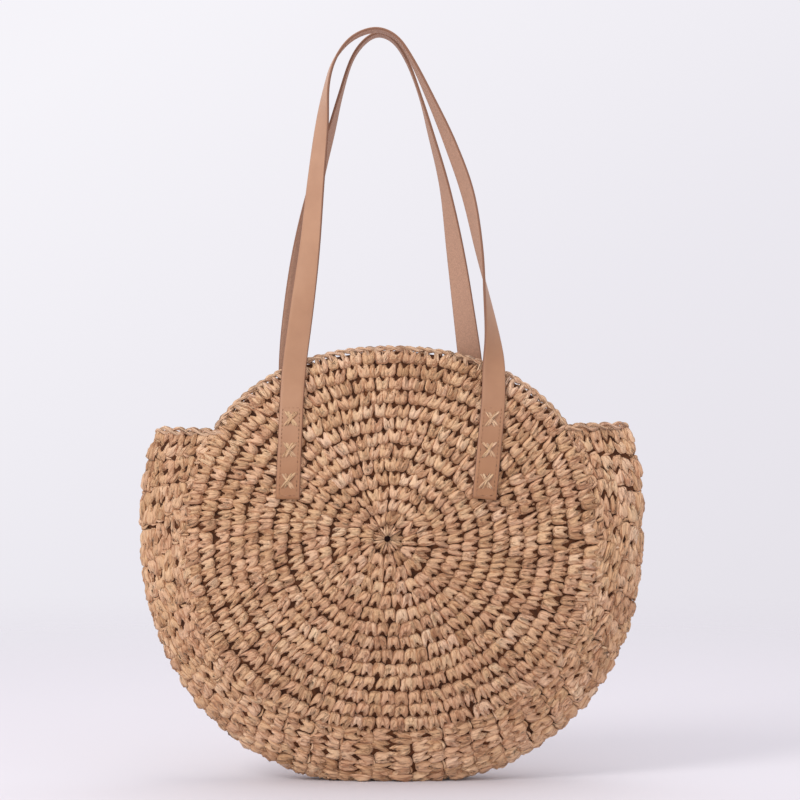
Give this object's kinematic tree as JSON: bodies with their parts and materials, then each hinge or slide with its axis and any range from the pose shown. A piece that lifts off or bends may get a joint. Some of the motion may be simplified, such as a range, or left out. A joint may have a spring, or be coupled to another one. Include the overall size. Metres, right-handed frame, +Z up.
{
  "type": "crocheted straw beach bag",
  "caption": "Round crocheted straw beach bag with a folded gusset, cloth lining, magnetic snap and two long flat leather straps that fold down over its sides.",
  "frame": {"origin": "on the floor, under the middle of the bag, at the bottom centre of its box", "axes": "+Z up along the raised straps, +X to the viewer's right along the mouth, front face towards -Y"},
  "size_m": [0.42, 0.0888, 0.6221],
  "materials": {
    "straw_crochet": "twisted paper-straw yarn in chunky rounds of crochet, dry and matt",
    "straw_yarn": "paper-straw yarn in a chain edging, dry and matt",
    "stitch_yarn": "pale paper-straw yarn, dry and matt",
    "lining_cloth": "plain woven cotton, dark brown",
    "strap_leather": "smooth tan leather with a fine grain and darker painted edges",
    "snap_metal": "nickel plated, satin"
  },
  "bodies": {
    "gusset": {"gusset": "straw_crochet", "lining_gusset": "lining_cloth", "left_ear_rim": "straw_yarn", "right_ear_rim": "straw_yarn"},
    "front_side": {"front_panel": "straw_crochet", "front_seam": "straw_yarn", "front_rim": "straw_yarn", "lining_front": "lining_cloth", "front_left_tab": "strap_leather", "front_right_tab": "strap_leather", "front_left_stitches": "stitch_yarn", "front_right_stitches": "stitch_yarn", "front_left_patch": "strap_leather", "front_right_patch": "strap_leather", "snap_stud": "snap_metal", "front_snap_washer": "snap_metal"},
    "back_side": {"back_panel": "straw_crochet", "back_seam": "straw_yarn", "back_rim": "straw_yarn", "lining_back": "lining_cloth", "back_left_tab": "strap_leather", "back_right_tab": "strap_leather", "back_left_stitches": "stitch_yarn", "back_right_stitches": "stitch_yarn", "back_left_patch": "strap_leather", "back_right_patch": "strap_leather", "snap_socket": "snap_metal", "back_snap_washer": "snap_metal"},
    "front_strap": {"front_strap": "strap_leather"},
    "back_strap": {"back_strap": "strap_leather"}
  },
  "joints": [
    {"name": "mouth_front_open", "type": "hinge", "parent": "gusset", "child": "front_side", "pos_m": [0, -0.03, 0.043], "axis": [1, 0, 0], "range_deg": [0, 6], "deforming": ["gusset", "lining_gusset", "left_ear_rim", "right_ear_rim"]},
    {"name": "mouth_back_open", "type": "hinge", "parent": "gusset", "child": "back_side", "pos_m": [0, 0.03, 0.043], "axis": [-1, 0, 0], "range_deg": [0, 6]},
    {"name": "front_strap_fold", "type": "hinge", "parent": "front_side", "child": "front_strap", "pos_m": [0, -0.0246, 0.312], "axis": [1, 0, 0], "range_deg": [0, 160]},
    {"name": "back_strap_fold", "type": "hinge", "parent": "back_side", "child": "back_strap", "pos_m": [0, 0.026, 0.312], "axis": [-1, 0, 0], "range_deg": [0, 160]}
  ],
  "couplings": [
    {"joint": "mouth_back_open", "follows": "mouth_front_open", "ratio": 1}
  ]
}
